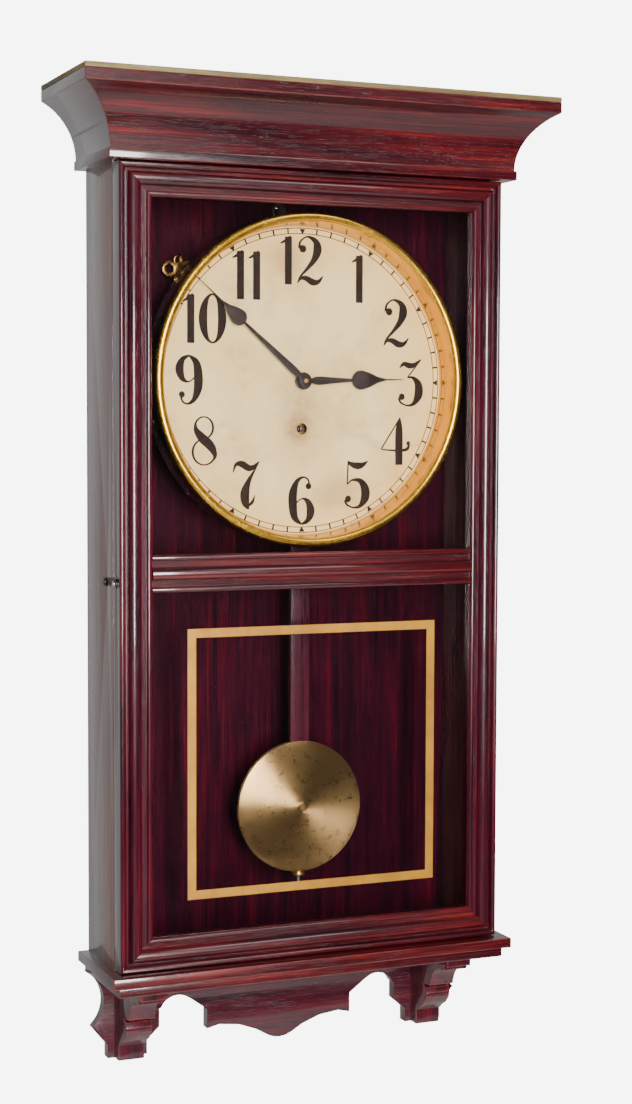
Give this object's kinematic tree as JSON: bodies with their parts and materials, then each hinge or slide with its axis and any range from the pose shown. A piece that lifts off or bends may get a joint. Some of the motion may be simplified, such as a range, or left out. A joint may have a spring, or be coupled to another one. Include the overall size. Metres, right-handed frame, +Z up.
{
  "type": "pendulum wall clock",
  "caption": "Wall clock in a dark red wooden case with coved cornice, one glazed door, round dial with spade hands, spring-driven movement and a disc-bob pendulum.",
  "frame": {"origin": "centre of the hole in the wall hanger plate, in the plane of the wall", "axes": "+X to the right of the dial as seen from the front, +Y into the wall, +Z up"},
  "size_m": [0.489, 0.147, 0.953],
  "materials": {
    "mahogany": "dark red stain under old varnish",
    "inside_wood": "stained",
    "raw_edge": "pale edge",
    "rod_wood": "varnished",
    "glass": "clear",
    "dial_paper": "aged paper",
    "zinc": "dull",
    "spun_brass": "lacquered",
    "turned_brass": "turned",
    "movement_brass": "satin",
    "hand_steel": "dark",
    "steel": "satin",
    "dark_iron": "dark"
  },
  "bodies": {
    "case": {"side_left": "mahogany", "side_right": "mahogany", "back_board": "inside_wood", "ledge": "mahogany", "base_board": "mahogany", "apron_board": "mahogany", "corbels": "mahogany", "neck_board": "mahogany", "cornice_front": "mahogany", "cornice_left": "mahogany", "cornice_right": "mahogany", "cornice_top": "raw_edge", "wall_hanger": "steel", "wood_screws": "steel", "hinge_case_leaves": "movement_brass", "hinge_pins": "steel", "hook_screw": "dark_iron", "dial_posts": "mahogany", "dial_plate": "zinc", "dial_paper": "dial_paper", "bezel": "spun_brass", "movement_back_plate": "movement_brass", "movement_front_plate": "movement_brass", "movement_pillars": "steel", "movement_feet": "movement_brass", "mainspring": "steel", "suspension_post": "movement_brass", "key_hook": "movement_brass"},
    "door": {"door_stile_left": "mahogany", "door_stile_right": "mahogany", "door_rail_top": "mahogany", "door_rail_mid": "mahogany", "door_rail_bottom": "mahogany", "glass_upper": "glass", "glass_lower": "glass", "glazing_strips": "mahogany", "hinge_door_leaves": "movement_brass", "door_screws": "steel"},
    "hook": {"door_hook": "dark_iron"},
    "centre_arbor": {"centre_wheel": "movement_brass", "cannon_pinion": "movement_brass", "minute_hand": "hand_steel", "hand_nut": "movement_brass"},
    "hour_pipe": {"hour_wheel": "movement_brass", "hour_hand": "hand_steel"},
    "motion_wheel": {"minute_wheel": "movement_brass"},
    "main_wheel": {"main_wheel": "movement_brass"},
    "winding_arbor": {"winding_arbor": "steel"},
    "click": {"click": "steel"},
    "second_arbor": {"second_wheel": "movement_brass"},
    "third_arbor": {"third_wheel": "movement_brass"},
    "escape_arbor": {"escape_wheel": "movement_brass"},
    "verge": {"verge": "steel"},
    "pendulum": {"suspension_spring": "steel", "pendulum_leader": "movement_brass", "pendulum_rod": "rod_wood", "pendulum_bob": "turned_brass", "rating_screw": "steel"},
    "rating_nut": {"rating_nut": "movement_brass"},
    "key": {"winding_key": "movement_brass"}
  },
  "joints": [
    {"name": "door_swing", "type": "hinge", "parent": "case", "child": "door", "pos_m": [0.2029, -0.08525, -0.3525], "axis": [0, 0, 1], "range_deg": [0, 110]},
    {"name": "hook_lift", "type": "hinge", "parent": "case", "child": "hook", "pos_m": [-0.201, -0.068, -0.364], "axis": [1, 0, 0], "range_deg": [-100, 0]},
    {"name": "hands_turn", "type": "hinge", "parent": "case", "child": "centre_arbor", "pos_m": [0, -0.04, -0.17125], "axis": [0, 1, 0], "continuous": true},
    {"name": "hour_turn", "type": "hinge", "parent": "case", "child": "hour_pipe", "pos_m": [0, -0.04, -0.17125], "axis": [0, 1, 0], "continuous": true},
    {"name": "motion_turn", "type": "hinge", "parent": "case", "child": "motion_wheel", "pos_m": [0.0168, -0.04, -0.17125], "axis": [0, 1, 0], "continuous": true},
    {"name": "main_turn", "type": "hinge", "parent": "case", "child": "main_wheel", "pos_m": [0, -0.04, -0.21825], "axis": [0, 1, 0], "continuous": true},
    {"name": "winding_turn", "type": "hinge", "parent": "main_wheel", "child": "winding_arbor", "pos_m": [0, -0.04, -0.21825], "axis": [0, 1, 0], "continuous": true},
    {"name": "click_lift", "type": "hinge", "parent": "main_wheel", "child": "click", "pos_m": [0, -0.04, -0.20325], "axis": [0, 1, 0], "range_deg": [-12, 0]},
    {"name": "second_turn", "type": "hinge", "parent": "case", "child": "second_arbor", "pos_m": [-0.02541, -0.04, -0.18481], "axis": [0, 1, 0], "continuous": true},
    {"name": "third_turn", "type": "hinge", "parent": "case", "child": "third_arbor", "pos_m": [0.00896, -0.04, -0.14834], "axis": [0, 1, 0], "continuous": true},
    {"name": "escape_turn", "type": "hinge", "parent": "case", "child": "escape_arbor", "pos_m": [0, -0.04, -0.12825], "axis": [0, 1, 0], "continuous": true},
    {"name": "pendulum_swing", "type": "hinge", "parent": "case", "child": "pendulum", "pos_m": [0, -0.0605, -0.10325], "axis": [0, 1, 0], "range_deg": [-4, 4]},
    {"name": "verge_rock", "type": "hinge", "parent": "case", "child": "verge", "pos_m": [0, -0.04, -0.10325], "axis": [0, 1, 0], "range_deg": [-4, 4]},
    {"name": "nut_turn", "type": "hinge", "parent": "pendulum", "child": "rating_nut", "pos_m": [0, -0.0605, -0.66205], "axis": [0, 0, 1], "continuous": true},
    {"name": "key_swing", "type": "hinge", "parent": "case", "child": "key", "pos_m": [-0.112, -0.019, -0.05325], "axis": [0, 1, 0], "range_deg": [-15, 15]}
  ],
  "couplings": [
    {"joint": "hour_turn", "follows": "hands_turn", "ratio": 0.083333},
    {"joint": "motion_turn", "follows": "hands_turn", "ratio": -0.33333},
    {"joint": "second_turn", "follows": "hands_turn", "ratio": -0.2},
    {"joint": "main_turn", "follows": "hands_turn", "ratio": 0.033333},
    {"joint": "third_turn", "follows": "hands_turn", "ratio": -7.2},
    {"joint": "escape_turn", "follows": "hands_turn", "ratio": 50.4},
    {"joint": "verge_rock", "follows": "pendulum_swing", "ratio": 1}
  ]
}
